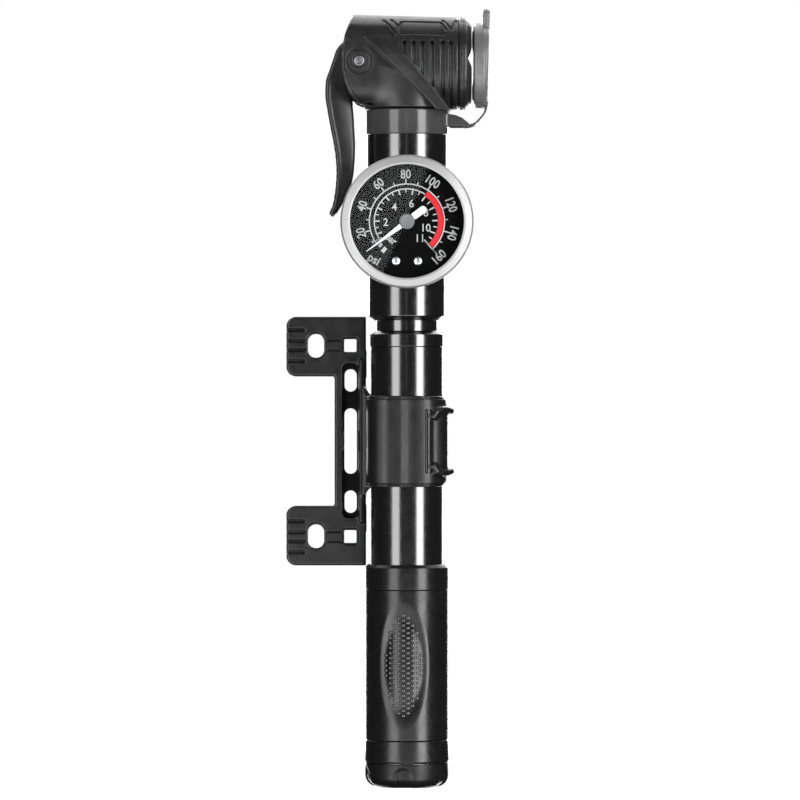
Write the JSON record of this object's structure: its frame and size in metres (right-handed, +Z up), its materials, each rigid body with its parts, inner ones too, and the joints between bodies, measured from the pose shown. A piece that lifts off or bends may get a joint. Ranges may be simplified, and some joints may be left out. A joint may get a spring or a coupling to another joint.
{
  "type": "mini bicycle pump",
  "caption": "Hand pump for bicycle tyres with a sliding handle, dial pressure gauge, lever-lock valve head, tethered dust cap and a clip-on frame bracket.",
  "frame": {"origin": "centre of the handle's flat end, on the pump's long axis", "axes": "+Z up the pump's axis to the head, +X towards the valve nose, -X towards the frame bracket, the dial faces -Y"},
  "size_m": [0.068, 0.0443, 0.261],
  "materials": {
    "bracket_plastic": "moulded black plastic, fine satin grain",
    "moulded_black": "moulded black plastic, satin",
    "grip_plastic": "moulded black grip, matt with fine dots",
    "anodised_black": "black anodised, polished",
    "aluminium_plain": "drawn tube",
    "seal_rubber": "black seal rubber",
    "grey_rubber": "dark grey moulded rubber",
    "brass": "turned brass",
    "steel": "bright steel",
    "bezel_metal": "satin silver, finely turned",
    "lens_glass": "clear lens",
    "dial_black": "black printed dial",
    "pointer_white": "white painted needle"
  },
  "bodies": {
    "bracket": {"frame_bracket": "bracket_plastic"},
    "pump": {"upper_tube": "anodised_black", "neck_connector": "anodised_black", "neck_oring": "seal_rubber", "barrel_collar": "anodised_black", "barrel_tube": "anodised_black", "guide_bush": "moulded_black", "spring_retainer": "brass", "check_spring": "steel", "head_body": "moulded_black", "head_oring": "seal_rubber", "nose_nut": "moulded_black", "valve_gasket": "seal_rubber", "strap_ring": "grey_rubber", "cap_strap": "grey_rubber", "lever_pin": "steel", "gauge_saddle": "moulded_black", "gauge_stem": "brass", "gauge_case": "moulded_black", "gauge_bezel": "bezel_metal", "gauge_lens": "lens_glass", "dial_plate": "dial_black", "dial_screws": "steel", "bourdon_tube": "brass", "movement_frame": "brass"},
    "lever": {"thumb_lever": "moulded_black"},
    "thrust": {"thrust_piston": "moulded_black", "thrust_oring": "seal_rubber", "valve_core_pin": "steel"},
    "cap": {"dust_cap": "grey_rubber"},
    "piston": {"piston_head": "moulded_black", "piston_oring": "seal_rubber"},
    "handle": {"piston_rod": "steel", "rod_screw": "steel", "handle_tube": "aluminium_plain", "handle_collar": "moulded_black", "grip_sleeve": "grip_plastic", "grip_end_ring": "moulded_black", "end_cap": "grip_plastic"},
    "poppet": {"check_poppet": "moulded_black"},
    "pointer": {"pointer_needle": "pointer_white", "pointer_hub_cap": "bezel_metal", "pointer_arbor": "brass"},
    "sector": {"sector_gear": "brass"},
    "link": {"bourdon_link": "brass"}
  },
  "joints": [
    {"name": "clip_turn", "type": "hinge", "parent": "bracket", "child": "pump", "pos_m": [0, 0, 0.1165], "axis": [0, 0, 1], "continuous": true},
    {"name": "lever_flip", "type": "hinge", "parent": "pump", "child": "lever", "pos_m": [-0.0159, 0, 0.2433], "axis": [0, 1, 0], "range_deg": [0, 90]},
    {"name": "thrust_slide", "type": "slide", "parent": "pump", "child": "thrust", "axis": [1, 0, 0], "range_m": [0, 0.00251], "deforming": ["valve_gasket"]},
    {"name": "cap_swing", "type": "hinge", "parent": "pump", "child": "cap", "pos_m": [0.0235, 0, 0.2235], "axis": [0, 1, 0], "range_deg": [0, 110], "deforming": ["cap_strap"]},
    {"name": "piston_slide", "type": "slide", "parent": "pump", "child": "piston", "axis": [0, 0, -1], "range_m": [0, 0.108]},
    {"name": "handle_turn", "type": "hinge", "parent": "piston", "child": "handle", "pos_m": [0, 0, 0.04], "axis": [0, 0, 1], "continuous": true},
    {"name": "poppet_lift", "type": "slide", "parent": "pump", "child": "poppet", "axis": [0, 0, 1], "range_m": [0, 0.002], "stiffness_N_per_m": 60, "springref_m": -0.002, "deforming": ["check_spring"]},
    {"name": "sector_turn", "type": "hinge", "parent": "pump", "child": "sector", "pos_m": [0, 0, 0.1804], "axis": [0, 1, 0], "range_deg": [-52.8, 0], "stiffness_Nm_per_rad": 0.0005, "springref_deg": 17.19, "deforming": ["bourdon_tube"]},
    {"name": "pointer_turn", "type": "hinge", "parent": "pump", "child": "pointer", "pos_m": [0, 0, 0.1894], "axis": [0, 1, 0], "range_deg": [0, 264]},
    {"name": "link_turn", "type": "hinge", "parent": "sector", "child": "link", "pos_m": [-0.0039, 0, 0.1823], "axis": [0, 1, 0], "range_deg": [0, 52.8]}
  ],
  "couplings": [
    {"joint": "thrust_slide", "follows": "lever_flip", "m_per_rad": 0.0015915},
    {"joint": "pointer_turn", "follows": "sector_turn", "ratio": -5},
    {"joint": "link_turn", "follows": "sector_turn", "ratio": -1}
  ]
}
